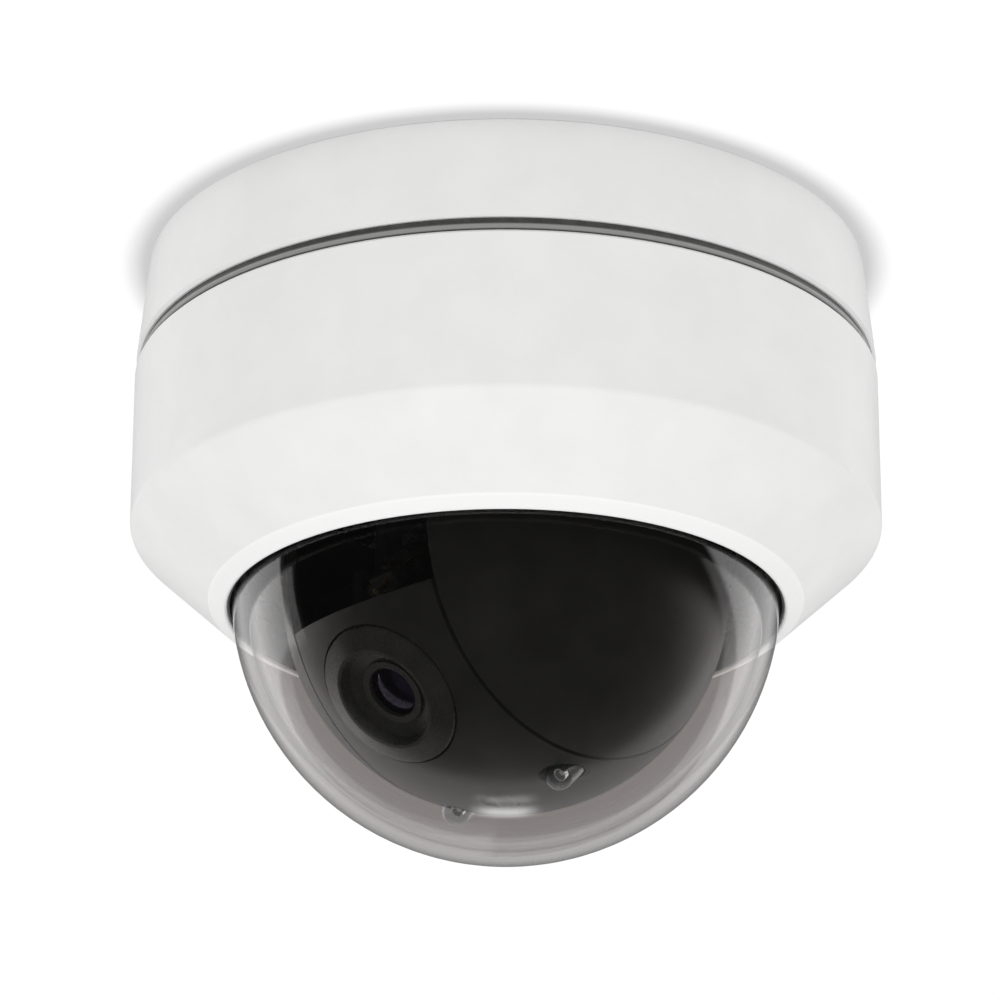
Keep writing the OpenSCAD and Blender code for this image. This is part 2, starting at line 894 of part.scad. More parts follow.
// Disc and hollow shaft that carry the yoke, with the stop tab on top
module turntable() {
    color([0.12, 0.12, 0.13])
        difference() {
            union() {
                post(turntable_r, z_turn, z_gear);
                post(bearing_bore, z_gear - eps, z_chassis + bearing_t + nut_t + 0.5);
                post(bearing_bore + 1.2, z_gear - eps, z_chassis);
                pan_frame()
                    translate([-stop_tab_w / 2, -stop_ring_r - 1.5, z_gear - eps])
                        cube([stop_tab_w, 3, gear_t + eps - 0.4]);
            }
            post(shaft_hole_r, z_turn - eps, z_chassis + bearing_t + nut_t + 1);
            pan_frame()
                for (x = [-12, 12])
                    translate([x, 0, 0])
                        post(1, z_turn - eps, z_gear + eps);
        }
}

// Ring gear on the turntable, with a tooth facing the pinion
module pan_gear() {
    color([0.85, 0.83, 0.75])
        difference() {
            translate([0, 0, z_gear])
                rotate([0, 0, pan_motor_angle])
                    gear(pan_module, pan_teeth, 0.8, 1.2, gear_t);
            post(pan_pitch_r - 5, z_gear - eps, z_gear + gear_t + eps);
        }
}

module pan_nut() {
    color([0.75, 0.72, 0.55])
        difference() {
            translate([0, 0, z_chassis + bearing_t])
                cylinder(r = bearing_r - 2.2, h = nut_t, $fn = 6);
            post(bearing_bore, z_chassis, z_chassis + bearing_t + nut_t + eps);
        }
}

// ---------------------------------------------------------------- yoke and cheeks

// Bent bracket with one arm on each side of the head
module yoke() {
    color([0.13, 0.13, 0.14])
        axis_frame()
            difference() {
                union() {
                    translate([-arm_out, -arm_half, head_clear])
                        cube([2 * arm_out, 2 * arm_half, yoke_t]);
                    for (s = [0, 1])
                        mirror([s, 0, 0]) {
                            translate([arm_x, -arm_half, 0])
                                cube([arm_t, 2 * arm_half, head_clear + yoke_t]);
                            bar_x(arm_half, arm_x, arm_out);
                            // Ears for the cheek's screws
                            translate([arm_x, -cheek_boss_y - 2.5, cheek_boss_z - 3])
                                cube([arm_t, 2 * cheek_boss_y + 5, 6]);
                        }
                }
                bar_x(bush_r, -arm_out - eps, arm_out + eps);
                post(shaft_hole_r, head_clear - eps, head_clear + yoke_t + eps);
                for (x = [-12, 12])
                    translate([x, 0, 0])
                        post(1.2, head_clear - eps, head_clear + yoke_t + eps);
                for (y = [-tilt_post_y, tilt_post_y])
                    translate([0, y, tilt_centre])
                        bar_x(0.8, arm_x - eps, arm_out + eps);
                for (s = [-1, 1], y = [-cheek_boss_y, cheek_boss_y])
                    translate([0, y, cheek_boss_z])
                        bar_x(1.1, s > 0 ? arm_x - eps : -arm_out - eps, s > 0 ? arm_out + eps : -arm_x + eps);
            }
}

module yoke_screws() {
    color([0.6, 0.6, 0.6])
        axis_frame()
            for (x = [-12, 12])
                translate([x, 0, head_clear])
                    rotate([180, 0, 0])
                        screw(1, yoke_t + turntable_t - 0.3, 1.9, 0.6);
}

module tilt_bush(s) {
    color([0.75, 0.62, 0.35])
        axis_frame()
            mirror([s < 0 ? 1 : 0, 0, 0])
                difference() {
                    bar_x(bush_r, arm_x, arm_out);
                    bar_x(trunnion_r + bush_play, arm_x - eps, arm_out + eps);
                }
}
module tilt_bush_left() { tilt_bush(-1); }
module tilt_bush_right() { tilt_bush(1); }

// Ball-shaped cover over one arm of the yoke
module cheek(s) {
    color([0.05, 0.05, 0.055])
        axis_frame()
            mirror([s < 0 ? 1 : 0, 0, 0])
                difference() {
                    union() {
                        difference() {
                            sphere(r = ball_r);
                            sphere(r = ball_in_r);
                        }
                        intersection() {
                            sphere(r = ball_r - 0.3);
                            for (y = [-cheek_boss_y, cheek_boss_y])
                                translate([0, y, cheek_boss_z])
                                    bar_x(cheek_boss_r, arm_out, ball_r);
                        }
                    }
                    translate([cheek_x - 2 * ball_r, -ball_r, -ball_r])
                        cube([2 * ball_r, 2 * ball_r, 2 * ball_r]);
                    translate([0, -ball_r, cheek_top])
                        cube([ball_r + 1, 2 * ball_r, ball_r]);
                    for (y = [-cheek_boss_y, cheek_boss_y])
                        translate([0, y, cheek_boss_z])
                            bar_x(0.9, arm_out - eps, arm_out + 6);
                    // Clearance for the tilt gear
                    bar_x(tilt_pitch_r + 1.4, arm_out - eps, tilt_gear_x + tilt_gear_t + 0.5);
                }
}
module cheek_left() { cheek(-1); }
module cheek_right() { cheek(1); }

// Screws from inside each arm into the cheek's bosses
module cheek_screws() {
    color([0.6, 0.6, 0.6])
        axis_frame()
            for (s = [-1, 1], y = [-cheek_boss_y, cheek_boss_y])
                mirror([s < 0 ? 1 : 0, 0, 0])
                    translate([0, y, cheek_boss_z])
                        bar_x(0.9, arm_x, arm_out + 5);
}

// Stepper motor beside the right arm, on two posts
module tilt_motor() {
    color([0.62, 0.63, 0.64])
        axis_frame()
            translate([0, 0, tilt_centre])
                difference() {
                    union() {
                        bar_x(tilt_motor_r, tilt_motor_x, tilt_motor_x + tilt_motor_h);
                        translate([tilt_motor_x, -tilt_post_y - 1.8, -2.2])
                            cube([tilt_flange_t, 2 * tilt_post_y + 3.6, 4.4]);
                        for (y = [-tilt_post_y, tilt_post_y])
                            translate([0, y, 0])
                                bar_x(1.8, arm_out, tilt_motor_x + eps);
                    }
                    bar_x(1 + shaft_play, tilt_motor_x - eps, tilt_motor_x + tilt_motor_h - 1.5);
                    for (y = [-tilt_post_y, tilt_post_y])
                        translate([0, y, 0])
                            bar_x(0.8, arm_out - eps, tilt_motor_x + tilt_flange_t + eps);
                }
}

module tilt_motor_screws() {
    color([0.6, 0.6, 0.6])
        axis_frame()
            for (y = [-tilt_post_y, tilt_post_y])
                translate([0, y, tilt_centre]) {
                    bar_x(0.8, arm_x, tilt_motor_x + tilt_flange_t);
                    bar_x(1.5, tilt_motor_x + tilt_flange_t, tilt_motor_x + tilt_flange_t + 1);
                }
}

module tilt_pinion() {
    color([0.85, 0.83, 0.75])
        axis_frame()
            translate([tilt_gear_x - 0.2, 0, tilt_centre]) {
                rotate([0, 90, 0])
                    rotate([0, 0, 180 / tilt_pinion_teeth])
                        gear(tilt_module, tilt_pinion_teeth, 0.9, 1.2, tilt_gear_t + 0.5);
                bar_x(1, 0, tilt_motor_x - tilt_gear_x + tilt_motor_h - 1.8);
            }
}

// ---------------------------------------------------------------- head

// Bracket of the head: two side plates with trunnions, and a tray under the lens
module head_frame() {
    color([0.1, 0.1, 0.11])
        head_frame_place()
            difference() {
                union() {
                    for (s = [0, 1])
                        mirror([s, 0, 0]) {
                            bar_x(9, frame_x - frame_t, frame_x);
                            translate([frame_x - frame_t, -28, cross_z - 1])
                                cube([frame_t, 28, 12]);
                            bar_x(trunnion_r, frame_x - 0.2, trunnion_end);
                            bar_x(trunnion_r + 1.2, frame_x - 0.2, arm_x - 0.2);
                        }
                    translate([-frame_x, -28, cross_z - 2])
                        cube([2 * frame_x, 22, 1.8]);
                    for (x = [-11, 11])
                        translate([x, 0, led_z + 4])
                            bar_y(1.6, led_board_y + 1.6, led_board_y + 5);
                    translate([-13, led_board_y + 4.5, led_z + 2])
                        cube([26, 1.5, cross_z - led_z - 3]);
                }
                for (x = [-11, 11])
                    translate([x, 0, led_z + 4])
                        bar_y(0.8, led_board_y - eps, led_board_y + 5);
            }
}

// Front moulding of the ball, with the lens opening and three lamp openings
module head_cowl() {
    reach = 2 * ball_r;
    color([0.05, 0.05, 0.055])
        head_frame_place()
            difference() {
                union() {
                    intersection() {
                        difference() {
                            sphere(r = ball_r);
                            sphere(r = ball_in_r);
                        }
                        translate([-drum_w, 0, 0])
                            cube_wedge(reach);
                    }
                    // Collar round the lens barrel
                    intersection() {
                        difference() {
                            bar_y(barrel_r + 1.6, -ball_r, -ball_r + 6);
                            bar_y(barrel_r + 0.3, -ball_r - eps, -ball_r + 6 + eps);
                        }
                        sphere(r = ball_r - 0.2);
                    }
                    // Bosses that fix the cowl to the side plates
                    intersection() {
                        sphere(r = ball_r - 0.4);
                        for (x = [-14, 14])
                            translate([x, 0, -10])
                                bar_y(1.6, -ball_r, -28);
                    }
                }
                bar_y(barrel_r + 0.3, -ball_r - 1, -ball_r + 12);
                for (k = [-1:1])
                    translate([k * led_pitch, 0, led_z]) {
                        bar_y(led_hole_r, -ball_r - 1, led_board_y);
                        bar_y(led_flange_r + 0.3, led_tip_y + led_length - 1.4, led_board_y);
                    }
                for (x = [-14, 14])
                    translate([x, 0, -10])
                        bar_y(0.8, -32, -27);
            }
}

// Wedge along X that keeps the cowl's share of the ball
module cube_wedge(reach) {
    rotate([90, 0, 90])
        linear_extrude(height = 2 * drum_w)
            polygon(concat(
                [[0, 0]],
                [for (a = [cowl_from:(cowl_to - cowl_from) / 5:cowl_to]) reach * [-cos(a), -sin(a)]]
            ));
}

module cowl_screws() {
    color([0.6, 0.6, 0.6])
        head_frame_place()
            for (x = [-14, 14])
                translate([x, 0, -10])
                    bar_y(0.8, -31, -28);
}

// Tilt gear on the right trunnion, with a tooth facing the pinion
module tilt_gear() {
    color([0.85, 0.83, 0.75])
        axis_frame()
            difference() {
                translate([tilt_gear_x, 0, 0])
                    rotate([0, 90, 0])
                        rotate([0, 0, 180])
                            gear(tilt_module, tilt_teeth, 0.8, 1.2, tilt_gear_t);
                bar_x(trunnion_r, tilt_gear_x - eps, tilt_gear_x + tilt_gear_t + eps);
            }
}

// Barrel with a square block at the back, hollow inside
module lens_barrel() {
    color([0.08, 0.08, 0.085])
        head_frame_place()
            difference() {
                union() {
                    bar_y(barrel_r, barrel_front, barrel_back + eps);
                    translate([-block_half, barrel_back, -block_half])
                        cube([2 * block_half, block_back - barrel_back, 2 * block_half]);
                }
                bar_y(barrel_r - barrel_wall, barrel_front - eps, barrel_back + 1);
                translate([-block_half + block_wall, barrel_back + 1, -block_half + block_wall])
                    cube([2 * (block_half - block_wall), block_back - barrel_back, 2 * (block_half - block_wall)]);
                // Slot for the arms of the two moving lens groups
                translate([-2, zoom_y - zoom_travel / 2 - 0.4, 0])
                    cube([4, focus_y + focus_travel / 2 - zoom_y + zoom_travel / 2 + carriage_t + 0.8, barrel_r + eps]);
            }
}

// Bevelled ring at the front of the barrel, with a stepped dish down to the glass
module lens_front_ring() {
    color([0.06, 0.06, 0.065])
        head_frame_place()
            rotate([90, 0, 0])
                rotate_extrude()
                    polygon([
                        [glass_r, -dish_y - 3], [glass_r, -dish_y],
                        [glass_r + 1.2, -dish_y], [glass_r + 1.2, -dish_y - 0.5],
                        [ring_r - 1, -dish_y + 0.2], [ring_r - 0.6, -ring_y],
                        [ring_r, -ring_y], [barrel_r - 0.2, -bevel_y],
                        [barrel_r, -bevel_y - 0.4], [barrel_r, -barrel_front],
                        [barrel_r - barrel_wall - 0.1, -barrel_front],
                        [barrel_r - barrel_wall - 0.1, -barrel_front - 2],
                        [barrel_r - barrel_wall - 1.3, -barrel_front - 2],
                        [barrel_r - barrel_wall - 1.3, -dish_y - 3]
                    ]);
}

// Front glass, curved on its outer face
module front_lens() {
    glass_curve = 9;
    color([0.2, 0.22, 0.3, 0.6])
        head_frame_place()
            intersection() {
                bar_y(glass_r, dish_y - 1, dish_y + 3);
                translate([0, dish_y - 0.4 + glass_curve, 0])
                    sphere(r = glass_curve);
            }
}

module guide_rods() {
    color([0.8, 0.8, 0.82])
        head_frame_place()
            for (x = [-rod_x, rod_x])
                translate([x, 0, 0])
                    bar_y(rod_r, barrel_front + 2.5, barrel_back + 3);
}

// Small stepper with a lead screw for each moving lens group
module lens_motors() {
    color([0.62, 0.63, 0.64])
        head_frame_place()
            for (s = [-1, 1])
                translate([s * screw_x, 0, screw_z])
                    difference() {
                        union() {
                            bar_y(lens_motor_r, -9, -3);
                            translate([-1.2, barrel_back, block_half - screw_z])
                                cube([2.4, 3, 2]);
                        }
                        bar_y(0.65, -10, -5);
                    }
}

// Lead screw of one lens group, running into its motor
module lead_screw(side, from) {
    color([0.78, 0.7, 0.45])
        head_frame_place()
            translate([side * screw_x, 0, screw_z])
                bar_y(0.6, from, -5.3);
}
module zoom_screw() { lead_screw(1, zoom_y - zoom_travel / 2 - 0.5); }
module focus_screw() { lead_screw(-1, focus_y - focus_travel / 2 - 0.5); }

// Sensor board behind the lens block, with the image sensor on its front
module sensor_board() {
    color([0.05, 0.25, 0.12])
        head_frame_place() {
            translate([-14, block_back, -14])
                cube([28, 1.6, 28]);
            translate([-5, block_back - 1.4, -4])
                cube([10, 1.4, 8]);
            translate([-8, block_back + 1.6, 6])
                cube([16, 3, 4]);
        }
}

module led_board() {
    color([0.08, 0.1, 0.08])
        head_frame_place()
            difference() {
                translate([-15, led_board_y, led_z - 2.4])
                    cube([30, 1.6, 8.8]);
                for (x = [-11, 11])
                    translate([x, 0, led_z + 4])
                        bar_y(0.8, led_board_y - eps, led_board_y + 2);
            }
}

// Three infrared lamps in a row under the lens
module ir_leds() {
    color([0.5, 0.5, 0.55, 0.6])
        head_frame_place()
            for (k = [-1:1])
                translate([k * led_pitch, 0, led_z]) {
                    bar_y(led_r, led_tip_y + led_r, led_tip_y + led_length);
                    bar_y(led_flange_r, led_tip_y + led_length - 1, led_tip_y + led_length);
                    translate([0, led_tip_y + led_r, 0])
                        sphere(r = led_r, $fn = 48);
                    // Two legs down to the board
                    for (x = [-1.3, 1.3])
                        translate([x, 0, 0])
                            bar_y(0.3, led_tip_y + led_length - 0.2, led_board_y);
                }
}

// Lens in a round carriage that slides on the guide rods, with an arm to its lead screw
module lens_group(y, side) {
    difference() {
        union() {
            bar_y(carriage_r, y, y + carriage_t);
            translate([-1.4, y, carriage_r - 1])
                cube([2.8, carriage_t, screw_z + 1.4 - carriage_r]);
            translate([side > 0 ? 0 : -screw_x - 1.5, y, screw_z - 1.6])
                cube([screw_x + 1.5, carriage_t, 3]);
        }
        for (x = [-rod_x, rod_x])
            translate([x, 0, 0])
                bar_y(rod_r + 0.06, y - eps, y + carriage_t + eps);
        translate([side * screw_x, 0, screw_z])
            bar_y(0.65, y - eps, y + carriage_t + eps);
        // The lens's two faces are hollowed into the disc
        translate([0, y - 10.6, 0])
            sphere(r = 12);
    }
}

module zoom_group() {
    color([0.16, 0.16, 0.2])
        head_frame_place()
            lens_group(zoom_y, 1);
}

module focus_group() {
    color([0.16, 0.16, 0.2])
        head_frame_place()
            lens_group(focus_y, -1);
}

// Two-pane filter that slides sideways in front of the sensor
module ir_cut_filter() {
    color([0.35, 0.5, 0.5])
        head_frame_place()
            translate([-filter_travel - 3.2, filter_y, -4])
                cube([filter_travel + 6.4, 1.2, 8]);
}

// ---------------------------------------------------------------- output

mount_plate();
mount_studs();
base_housing();
lock_screw();
case_screws();
cable_grommet();
body_gasket();
lower_housing();
dome_gasket();
dome();
dome_ring();
dome_ring_screws();
shroud();
main_board();
board_components();
heat_sink();
card_socket();
memory_card();
board_screws();
reset_switch();
reset_button();
pan_harness();
chassis();
chassis_screws();
pan_motor();
pan_motor_screws();
pan_bearing_outer();
pan_bearing_balls();
pan_pinion();
turntable();
pan_gear();
pan_bearing_inner();
pan_nut();
yoke();
yoke_screws();
tilt_bush_left();
tilt_bush_right();
cheek_left();
cheek_right();
cheek_screws();
tilt_motor();
tilt_motor_screws();
tilt_pinion();
head_frame();
head_cowl();
cowl_screws();
tilt_gear();
lens_barrel();
lens_front_ring();
front_lens();
guide_rods();
lens_motors();
zoom_screw();
focus_screw();
sensor_board();
led_board();
ir_leds();
zoom_group();
focus_group();
ir_cut_filter();
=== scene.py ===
import math

import bmesh
import bpy
from mathutils import Matrix, Vector


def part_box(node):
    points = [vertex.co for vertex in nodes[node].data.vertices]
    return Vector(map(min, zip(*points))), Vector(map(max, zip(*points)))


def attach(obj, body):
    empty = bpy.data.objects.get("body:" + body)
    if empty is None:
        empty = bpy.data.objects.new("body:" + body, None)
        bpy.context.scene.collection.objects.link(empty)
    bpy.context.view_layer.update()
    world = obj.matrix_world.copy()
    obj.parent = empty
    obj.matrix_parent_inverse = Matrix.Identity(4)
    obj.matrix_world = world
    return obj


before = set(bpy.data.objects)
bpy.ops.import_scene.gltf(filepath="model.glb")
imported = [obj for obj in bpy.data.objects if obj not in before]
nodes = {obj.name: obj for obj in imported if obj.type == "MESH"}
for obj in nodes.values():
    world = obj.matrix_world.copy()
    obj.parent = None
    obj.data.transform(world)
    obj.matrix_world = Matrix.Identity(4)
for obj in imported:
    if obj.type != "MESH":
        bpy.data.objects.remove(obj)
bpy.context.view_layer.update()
mm = 0.001

# Case: two aluminium die castings, blasted and then sprayed with a fine-textured
# white powder coat. The upper ring holds the deck, and the lower half ends in a wide
# chamfer and a narrow turned bevel round the dome's opening.


def new_finish(name):
    """An empty node material with its shader and a coordinate source fixed to the piece."""
    finish = bpy.data.materials.new(name)
    finish.use_nodes = True
    shader = finish.node_tree.nodes["Principled BSDF"]
    place = finish.node_tree.nodes.new("ShaderNodeTexCoord")
    return finish, shader, place.outputs["Object"]


def grain(finish, place, size, detail=2.0, stretch=(1, 1, 1)):
    """Noise of about that feature size in metres, as the output of a noise node."""
    tree = finish.node_tree
    scaled = tree.nodes.new("ShaderNodeMapping")
    scaled.inputs["Scale"].default_value = stretch
    noise = tree.nodes.new("ShaderNodeTexNoise")
    noise.inputs["Scale"].default_value = 1.0 / size
    noise.inputs["Detail"].default_value = detail
    tree.links.new(place, scaled.inputs["Vector"])
    tree.links.new(scaled.outputs["Vector"], noise.inputs["Vector"])
    return noise.outputs["Fac"]


def blend_values(finish, factor, low, high, start=0.3, end=0.7):
    """A number that runs from low to high as the factor runs from start to end."""
    spread = finish.node_tree.nodes.new("ShaderNodeMapRange")
    spread.inputs["From Min"].default_value = start
    spread.inputs["From Max"].default_value = end
    spread.inputs["To Min"].default_value = low
    spread.inputs["To Max"].default_value = high
    finish.node_tree.links.new(factor, spread.inputs["Value"])
    return spread.outputs["Result"]


def blend_colours(finish, factor, stops):
    """A colour ramp over the factor. stops is a list of (position, colour)."""
    ramp = finish.node_tree.nodes.new("ShaderNodeValToRGB")
    for k, (position, colour) in enumerate(stops):
        stop = ramp.color_ramp.elements[k] if k < 2 else ramp.color_ramp.elements.new(position)
        stop.position = position
        stop.color = (*colour, 1)
    finish.node_tree.links.new(factor, ramp.inputs["Fac"])
    return ramp.outputs["Color"]


def mix_colours(finish, factor, first, second):
    """Goes from first to second with the factor. Each is a colour or the output of a node."""
    tree = finish.node_tree
    blend = tree.nodes.new("ShaderNodeMix")
    blend.data_type = "RGBA"
    tree.links.new(factor, blend.inputs["Factor"])
    ends = [socket for socket in blend.inputs if socket.type == "RGBA"]
    for socket, colour in zip(ends, (first, second)):
        if isinstance(colour, tuple):
            socket.default_value = (*colour, 1)
        else:
            tree.links.new(colour, socket)
    return next(socket for socket in blend.outputs if socket.type == "RGBA")


def height_of(finish, place):
    """How high each point of the piece lies, in metres."""
    split = finish.node_tree.nodes.new("ShaderNodeSeparateXYZ")
    finish.node_tree.links.new(place, split.inputs["Vector"])
    return split.outputs["Z"]


def raise_surface(finish, shader, heights, depth, strength=1.0):
    """Bump of that depth in metres, added after any bump already there."""
    tree = finish.node_tree
    bump = tree.nodes.new("ShaderNodeBump")
    bump.inputs["Distance"].default_value = depth
    bump.inputs["Strength"].default_value = strength
    before = shader.inputs["Normal"].links
    if before:
        tree.links.new(before[0].from_socket, bump.inputs["Normal"])
    tree.links.new(heights, bump.inputs["Height"])
    tree.links.new(bump.outputs["Normal"], shader.inputs["Normal"])


def paint(finish, *names):
    """Puts a finish on CAD nodes, in place of every material they have."""
    for name in names:
        for layer in nodes[name].material_slots:
            layer.link = "OBJECT"
            layer.material = finish


coat_white = (0.83, 0.83, 0.825)
coat_shade = (0.80, 0.80, 0.795)
# The bevel round the dome's opening gets a paler colour, a painted highlight where the light from
# below falls on it
bevel_highlight = (0.90, 0.90, 0.895)
bevel_edge = (1.65 * mm, 1.8 * mm)
cloud_size = 9 * mm
peel_size = 0.55 * mm
spray_size = 1.6 * mm
coat_relief = 0.05 * mm


def powder_coat():
    """White coat with orange peel, and a painted highlight: a paler band on the bevel."""
    finish, shader, place = new_finish("white powder coat")
    tree = finish.node_tree
    shader.inputs["Specular IOR Level"].default_value = 0.22
    tint = grain(finish, place, cloud_size, 3)
    colour = blend_colours(finish, tint, [(0.3, coat_shade), (0.7, coat_white)])
    # Painted highlight: a brighter colour over the height of the bevel
    bevel_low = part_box("lower_housing")[0][2]
    start, end = (bevel_low + edge for edge in bevel_edge)
    bevel = blend_values(finish, height_of(finish, place), 1, 0, start, end)
    with_highlight = mix_colours(finish, bevel, colour, bevel_highlight)
    tree.links.new(with_highlight, shader.inputs["Base Color"])
    peel = grain(finish, place, peel_size, 2)
    tree.links.new(blend_values(finish, peel, 0.36, 0.46), shader.inputs["Roughness"])
    raise_surface(finish, shader, peel, coat_relief, 0.8)
    raise_surface(finish, shader, grain(finish, place, spray_size, 1), coat_relief, 0.35)
    return finish


paint(powder_coat(), "base_housing", "lower_housing")

# Seam gasket: a dark grey rubber ring in the seam, moulded with a rounded lower bead
# that the two halves squeeze. The bead is painted paler, as a painted highlight along it.


dust_size = 1.6 * mm
mould_grain = 0.18 * mm
mould_relief = 0.012 * mm


def moulded_rubber(name, dark, pale, roughness):
    """Rubber or soft plastic, a little cloudy and with the fine grain of its mould."""
    finish, shader, place = new_finish(name)
    tree = finish.node_tree
    dust = grain(finish, place, dust_size, 4)
    colour = blend_colours(finish, dust, [(0.35, dark), (0.75, pale)])
    tree.links.new(colour, shader.inputs["Base Color"])
    dullness = blend_values(finish, dust, roughness, roughness + 0.12)
    tree.links.new(dullness, shader.inputs["Roughness"])
    raise_surface(finish, shader, grain(finish, place, mould_grain, 3), mould_relief, 0.5)
    return finish


seam_dark = (0.055, 0.055, 0.053)
seam_pale = (0.085, 0.085, 0.082)
# Colour of the painted highlight on the bead
bead_highlight = (0.27, 0.27, 0.265)
# Where the painted highlight on the bead starts and ends, as shares of the gasket's height
bead_start = (0.10, 0.17)
bead_end = (0.40, 0.50)


def seam_rubber():
    """Grey rubber with a paler bead along the lower part of the gasket, a painted highlight."""
    finish = moulded_rubber("grey seam rubber", seam_dark, seam_pale, 0.42)
    tree = finish.node_tree
    shader = tree.nodes["Principled BSDF"]
    place = next(n for n in tree.nodes if n.type == "TEX_COORD").outputs["Object"]
    low, high = (corner[2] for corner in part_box("body_gasket"))
    share = blend_values(finish, height_of(finish, place), 0, 1, low, high)
    off, on = (0, 0, 0), (1, 1, 1)
    stops = [(0.0, off), (bead_start[0], off), (bead_start[1], on), (bead_end[0], on)]
    # Painted highlight: the bead's band is given the paler colour
    bead = blend_colours(finish, share, [*stops, (bead_end[1], off)])
    dusty = shader.inputs["Base Color"].links[0].from_socket
    tree.links.new(mix_colours(finish, bead, dusty, bead_highlight), shader.inputs["Base Color"])
    return finish


paint(seam_rubber(), "body_gasket")

# Dome gasket and cable grommet: black silicone rings. The first lies in the gap round
# the dome and keeps the weather out, and the second snaps into the deck's cable hole.

black_rubber = moulded_rubber("black rubber", (0.03, 0.03, 0.029), (0.05, 0.05, 0.048), 0.5)
paint(black_rubber, "dome_gasket", "cable_grommet")

# Dome: injection-moulded polycarbonate, lightly smoked and hard-coated on the outside.
# Each face of the wall reflects a little and dims what is seen through it.

dome_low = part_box("dome")[0]
dome_radius = 47.3 * mm
dome_middle = dome_low[2] + dome_radius
# Between these depths below the outer face the mirroring changes to the inner face's
inner_depth = 1.5 * mm
outer_depth = 1.0 * mm
inner_share = 0.018
outer_share = 0.055
grazing_power = 5.0


def clear_plastic(name, tint, gloss, facing_share, roughness):
    """See-through plastic or glass. A face mirrors facing_share head on, and all at grazing."""
    finish = bpy.data.materials.new(name)
    finish.use_nodes = True
    tree = finish.node_tree
    tree.nodes.remove(tree.nodes["Principled BSDF"])
    output = tree.nodes["Material Output"]
    through = tree.nodes.new("ShaderNodeBsdfTransparent")
    through.inputs["Color"].default_value = (*tint, 1)
    shine = tree.nodes.new("ShaderNodeBsdfGlossy")
    shine.inputs["Color"].default_value = (*gloss, 1)
    shine.inputs["Roughness"].default_value = roughness
    edge = tree.nodes.new("ShaderNodeLayerWeight")
    edge.inputs["Blend"].default_value = 0.5
    steep = tree.nodes.new("ShaderNodeMath")
    steep.operation = "POWER"
    steep.inputs[1].default_value = grazing_power
    share = tree.nodes.new("ShaderNodeMapRange")
    share.inputs["To Min"].default_value = facing_share
    share.inputs["To Max"].default_value = 1.0
    mix = tree.nodes.new("ShaderNodeMixShader")
    tree.links.new(edge.outputs["Facing"], steep.inputs[0])
    tree.links.new(steep.outputs["Value"], share.inputs["Value"])
    tree.links.new(share.outputs["Result"], mix.inputs["Fac"])
    tree.links.new(through.outputs["BSDF"], mix.inputs[1])
    tree.links.new(shine.outputs["BSDF"], mix.inputs[2])
    tree.links.new(mix.outputs["Shader"], output.inputs["Surface"])
    return finish


def dome_plastic():
    """The dome's plastic, which mirrors less on its inner face than on the hard-coated one."""
    smoke = (0.94, 0.925, 0.92)
    finish = clear_plastic("smoked polycarbonate", smoke, (1, 1, 1), outer_share, 0.0)
    tree = finish.node_tree
    place = tree.nodes.new("ShaderNodeTexCoord")
    from_middle = tree.nodes.new("ShaderNodeVectorMath")
    from_middle.operation = "DISTANCE"
    from_middle.inputs[1].default_value = (0, 0, dome_middle)
    outside = tree.nodes.new("ShaderNodeMapRange")
    outside.inputs["From Min"].default_value = dome_radius - inner_depth
    outside.inputs["From Max"].default_value = dome_radius - outer_depth
    outside.inputs["To Min"].default_value = inner_share
    outside.inputs["To Max"].default_value = outer_share
    share = next(n for n in tree.nodes if n.type == "MAP_RANGE" and n.outputs["Result"].links)
    tree.links.new(place.outputs["Object"], from_middle.inputs[0])
    tree.links.new(from_middle.outputs["Value"], outside.inputs["Value"])
    tree.links.new(outside.outputs["Result"], share.inputs["To Min"])
    return finish


paint(dome_plastic(), "dome")

# Black mouldings: the side covers, cowl, trim funnel, turntable and lens parts are black
# ABS with a fine spark-eroded grain, so that nothing inside the dome shines.

mottle_size = 6 * mm
spark_size = 0.14 * mm


def black_moulding(name, base, roughness, depth):
    """Black plastic or coat with an eroded grain of that depth."""
    finish, shader, place = new_finish(name)
    tree = finish.node_tree
    shader.inputs["Specular IOR Level"].default_value = 0.25
    mottle = grain(finish, place, mottle_size, 3)
    pale = tuple(1.5 * c for c in base)
    colour = blend_colours(finish, mottle, [(0.3, base), (0.7, pale)])
    tree.links.new(colour, shader.inputs["Base Color"])
    spark = grain(finish, place, spark_size, 3)
    dullness = blend_values(finish, spark, roughness, roughness + 0.14)
    tree.links.new(dullness, shader.inputs["Roughness"])
    raise_surface(finish, shader, spark, depth, 0.6)
    return finish


black_abs = black_moulding("black grained plastic", (0.0085, 0.009, 0.008), 0.38, 0.012 * mm)
paint(black_abs, "cheek_left", "cheek_right", "head_cowl", "shroud", "lens_barrel", "turntable")
paint(black_abs, "zoom_group", "focus_group")
smooth_black = black_moulding("smooth black plastic", (0.012, 0.0125, 0.0115), 0.18, 0.002 * mm)
paint(smooth_black, "lens_front_ring")

# Front glass and infrared-cut filter: polished glass with a violet anti-reflection
# coating. The front glass is held by the lens ring, and the filter slides behind it.

coated = clear_plastic("coated glass", (0.55, 0.5, 0.66), (0.75, 0.7, 1.0), 0.06, 0.0)
paint(coated, "front_lens", "ir_cut_filter")

# Infrared lamps: three clear epoxy bodies, each cast over a silvered metal cup with the
# chip in it. They are soldered to the lamp board and stand through the cowl.

epoxy = clear_plastic("clear epoxy", (0.86, 0.88, 0.9), (1, 1, 1), 0.06, 0.02)
paint(epoxy, "ir_leds")

head_pan = math.radians(-48)
head_tilt = math.radians(44)
head_place = (
    Matrix.Translation((0, 0, dome_middle))
    @ Matrix.Rotation(head_pan, 4, "Z")
    @ Matrix.Rotation(head_tilt, 4, "X")
)
lamp_spacing = 13
lamp_front = -27.6 * mm
lamp_height = -26.6 * mm
sharp_edge = math.radians(35)


